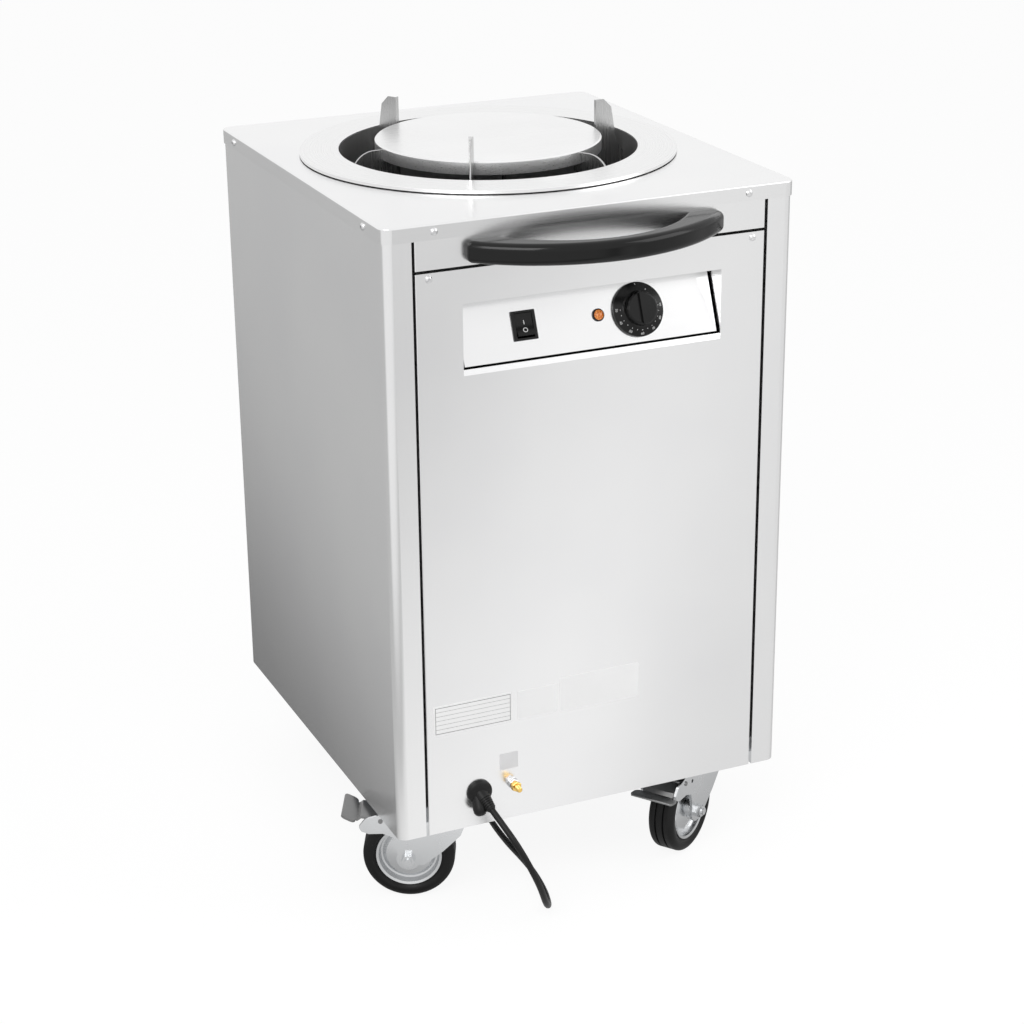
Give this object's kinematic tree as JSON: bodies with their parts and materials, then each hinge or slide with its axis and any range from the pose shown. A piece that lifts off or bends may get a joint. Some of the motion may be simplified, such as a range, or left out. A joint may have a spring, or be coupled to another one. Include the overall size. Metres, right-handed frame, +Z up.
{
  "type": "heated plate dispenser",
  "caption": "Mobile heated plate dispenser: steel cabinet on swivel casters, with a sprung round plate carrier in a tube, a bow handle and a sloped control recess.",
  "frame": {"origin": "on the floor, under the middle of the object's outer box, the free cord not counted", "axes": "+Z up, the front with the handle and the controls faces -Y, +X to the right as seen from the front"},
  "size_m": [0.4895, 0.7542, 0.807],
  "materials": {
    "brushed_steel": "brushed stainless sheet",
    "galvanised_steel": "galvanised",
    "bright_steel": "bright zinc",
    "spring_steel": "drawn wire",
    "zinc_plate": "bright zinc plate",
    "tyre_rubber": "black rubber",
    "handle_plastic": "gloss black",
    "control_plastic": "satin black",
    "lamp_amber": "clear amber",
    "cord_rubber": "matt black",
    "brass": "bright brass",
    "heater_steel": "oxidised steel",
    "moulded_insulator": "matt"
  },
  "bodies": {
    "cabinet": {"side_panel_left": "brushed_steel", "side_panel_right": "brushed_steel", "rear_panel": "brushed_steel", "base_plate": "galvanised_steel", "front_frame": "galvanised_steel", "fascia_strip": "brushed_steel", "front_panel": "brushed_steel", "control_plate": "brushed_steel", "lid": "brushed_steel", "top_ring": "brushed_steel", "plate_tube": "brushed_steel", "guide_front_left": "brushed_steel", "guide_right": "brushed_steel", "guide_rear_left": "brushed_steel", "lift_spring_front_right": "spring_steel", "lift_spring_rear_right": "spring_steel", "lift_spring_left": "spring_steel", "spring_anchors": "galvanised_steel", "heater_element": "heater_steel", "heater_brackets": "galvanised_steel", "terminal_block": "moulded_insulator", "thermostat": "moulded_insulator", "switch_housing": "control_plastic", "lamp_bezel": "control_plastic", "lamp_lens": "lamp_amber", "handle": "handle_plastic", "earth_stud": "brass", "cord_gland": "cord_rubber", "power_cord": "cord_rubber", "cord_coil": "cord_rubber", "mains_plug": "cord_rubber", "casing_screws": "bright_steel", "caster_plates": "zinc_plate", "caster_bolts": "bright_steel"},
    "carrier": {"carrier_disc": "brushed_steel", "carrier_arm_front_right": "brushed_steel", "carrier_arm_rear_right": "brushed_steel", "carrier_arm_left": "brushed_steel", "carrier_hoop": "brushed_steel"},
    "knob": {"temperature_knob": "control_plastic", "thermostat_spindle": "heater_steel"},
    "rocker": {"switch_rocker": "control_plastic"},
    "swivel_front_left": {"caster_fork_front_left": "zinc_plate", "caster_axle_front_left": "bright_steel"},
    "wheel_front_left": {"tyre_front_left": "tyre_rubber", "rim_front_left": "zinc_plate"},
    "brake_front_left": {"brake_pedal_front_left": "zinc_plate"},
    "swivel_front_right": {"caster_fork_front_right": "zinc_plate", "caster_axle_front_right": "bright_steel"},
    "wheel_front_right": {"tyre_front_right": "tyre_rubber", "rim_front_right": "zinc_plate"},
    "brake_front_right": {"brake_pedal_front_right": "zinc_plate"},
    "swivel_rear_left": {"caster_fork_rear_left": "zinc_plate", "caster_axle_rear_left": "bright_steel"},
    "wheel_rear_left": {"tyre_rear_left": "tyre_rubber", "rim_rear_left": "zinc_plate"},
    "swivel_rear_right": {"caster_fork_rear_right": "zinc_plate", "caster_axle_rear_right": "bright_steel"},
    "wheel_rear_right": {"tyre_rear_right": "tyre_rubber", "rim_rear_right": "zinc_plate"}
  },
  "joints": [
    {"name": "carrier_lift", "type": "slide", "parent": "cabinet", "child": "carrier", "axis": [0, 0, -1], "range_m": [0, 0.42], "stiffness_N_per_m": 700, "springref_m": -0.08, "deforming": ["lift_spring_front_right", "lift_spring_rear_right", "lift_spring_left"]},
    {"name": "knob_turn", "type": "hinge", "parent": "cabinet", "child": "knob", "pos_m": [0.0711, -0.20281, 0.64546], "axis": [0, 0.9267, -0.3757], "range_deg": [0, 270]},
    {"name": "rocker_tip", "type": "hinge", "parent": "cabinet", "child": "rocker", "pos_m": [-0.0549, -0.20095, 0.64471], "axis": [1, 0, 0], "range_deg": [0, 16]},
    {"name": "swivel_front_left", "type": "hinge", "parent": "cabinet", "child": "swivel_front_left", "pos_m": [-0.1389, -0.1604, 0.115], "axis": [0, 0, 1], "continuous": true},
    {"name": "wheel_front_left", "type": "hinge", "parent": "swivel_front_left", "child": "wheel_front_left", "pos_m": [-0.17049, -0.14533, 0.05], "axis": [-0.4305, -0.9026, 0], "continuous": true},
    {"name": "brake_front_left", "type": "hinge", "parent": "swivel_front_left", "child": "brake_front_left", "pos_m": [-0.19667, -0.13285, 0.096], "axis": [-0.4305, -0.9026, 0], "range_deg": [0, 20]},
    {"name": "swivel_front_right", "type": "hinge", "parent": "cabinet", "child": "swivel_front_right", "pos_m": [0.1711, -0.1604, 0.115], "axis": [0, 0, 1], "continuous": true},
    {"name": "wheel_front_right", "type": "hinge", "parent": "swivel_front_right", "child": "wheel_front_right", "pos_m": [0.14236, -0.18038, 0.05], "axis": [0.5707, -0.8211, 0], "continuous": true},
    {"name": "brake_front_right", "type": "hinge", "parent": "swivel_front_right", "child": "brake_front_right", "pos_m": [0.11855, -0.19693, 0.096], "axis": [-0.5707, 0.8211, 0], "range_deg": [0, 20]},
    {"name": "swivel_rear_left", "type": "hinge", "parent": "cabinet", "child": "swivel_rear_left", "pos_m": [-0.1389, 0.2236, 0.115], "axis": [0, 0, 1], "continuous": true},
    {"name": "wheel_rear_left", "type": "hinge", "parent": "swivel_rear_left", "child": "wheel_rear_left", "pos_m": [-0.10601, 0.23557, 0.05], "axis": [-0.342, 0.9397, 0], "continuous": true},
    {"name": "swivel_rear_right", "type": "hinge", "parent": "cabinet", "child": "swivel_rear_right", "pos_m": [0.1711, 0.2236, 0.115], "axis": [0, 0, 1], "continuous": true},
    {"name": "wheel_rear_right", "type": "hinge", "parent": "swivel_rear_right", "child": "wheel_rear_right", "pos_m": [0.13763, 0.23383, 0.05], "axis": [-0.2924, -0.9563, 0], "continuous": true}
  ]
}
